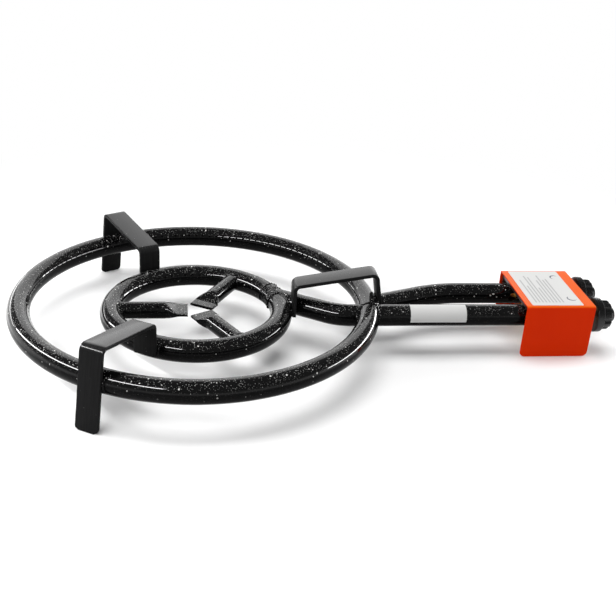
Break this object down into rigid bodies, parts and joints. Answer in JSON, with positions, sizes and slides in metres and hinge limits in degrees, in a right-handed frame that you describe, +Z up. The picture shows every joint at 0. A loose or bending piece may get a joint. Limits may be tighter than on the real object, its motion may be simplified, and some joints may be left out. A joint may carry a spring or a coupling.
{
  "type": "paella burner",
  "caption": "Ring gas burner for paella pans: concentric enamelled tube rings on feed tubes that form the handle, flat-bar pan supports, and gas taps with knobs under a folded sheet cover.",
  "frame": {"origin": "on the ground, under the middle of the overall box", "axes": "+X along the handle from the rings towards the knobs, +Z up"},
  "size_m": [0.668, 0.4, 0.0834],
  "materials": {
    "enamel_black": "glossy vitreous enamel with fine white speckle",
    "support_black": "satin black enamel",
    "cover_orange": "smooth orange powder coat",
    "brass": "turned",
    "zinc_steel": "zinc plated",
    "spring_steel": "drawn wire",
    "knob_black": "moulded, fine grain",
    "label_pale": "printed film, blank"
  },
  "bodies": {
    "burner": {"outer_ring": "enamel_black", "inner_ring": "enamel_black", "spoke_left": "enamel_black", "spoke_rear": "enamel_black", "spoke_front": "enamel_black", "inner_feed_tube": "enamel_black", "outer_feed_tube": "enamel_black", "support_front_left": "support_black", "support_rear_left": "support_black", "support_handle": "support_black", "cover": "cover_orange", "gas_rail": "brass", "rail_end_plug": "brass", "hose_inlet": "brass", "front_tap_body": "brass", "rear_tap_body": "brass", "front_injector": "brass", "rear_injector": "brass", "front_bonnet": "brass", "rear_bonnet": "brass", "cover_bridge": "zinc_steel", "cover_screws": "zinc_steel", "cover_label": "label_pale", "tube_label": "label_pale"},
    "front_valve": {"front_plug": "brass", "front_spring": "spring_steel"},
    "front_control": {"front_stem": "zinc_steel", "front_knob": "knob_black"},
    "rear_valve": {"rear_plug": "brass", "rear_spring": "spring_steel"},
    "rear_control": {"rear_stem": "zinc_steel", "rear_knob": "knob_black"}
  },
  "joints": [
    {"name": "front_tap_turn", "type": "hinge", "parent": "burner", "child": "front_valve", "pos_m": [0.259, -0.028, 0.042], "axis": [1, 0, 0], "range_deg": [0, 180]},
    {"name": "front_knob_push", "type": "slide", "parent": "front_valve", "child": "front_control", "axis": [-1, 0, 0], "range_m": [0, 0.003], "stiffness_N_per_m": 800, "springref_m": -0.002, "deforming": ["front_spring"]},
    {"name": "rear_tap_turn", "type": "hinge", "parent": "burner", "child": "rear_valve", "pos_m": [0.259, 0.028, 0.042], "axis": [1, 0, 0], "range_deg": [0, 180]},
    {"name": "rear_knob_push", "type": "slide", "parent": "rear_valve", "child": "rear_control", "axis": [-1, 0, 0], "range_m": [0, 0.003], "stiffness_N_per_m": 800, "springref_m": -0.002, "deforming": ["rear_spring"]}
  ]
}
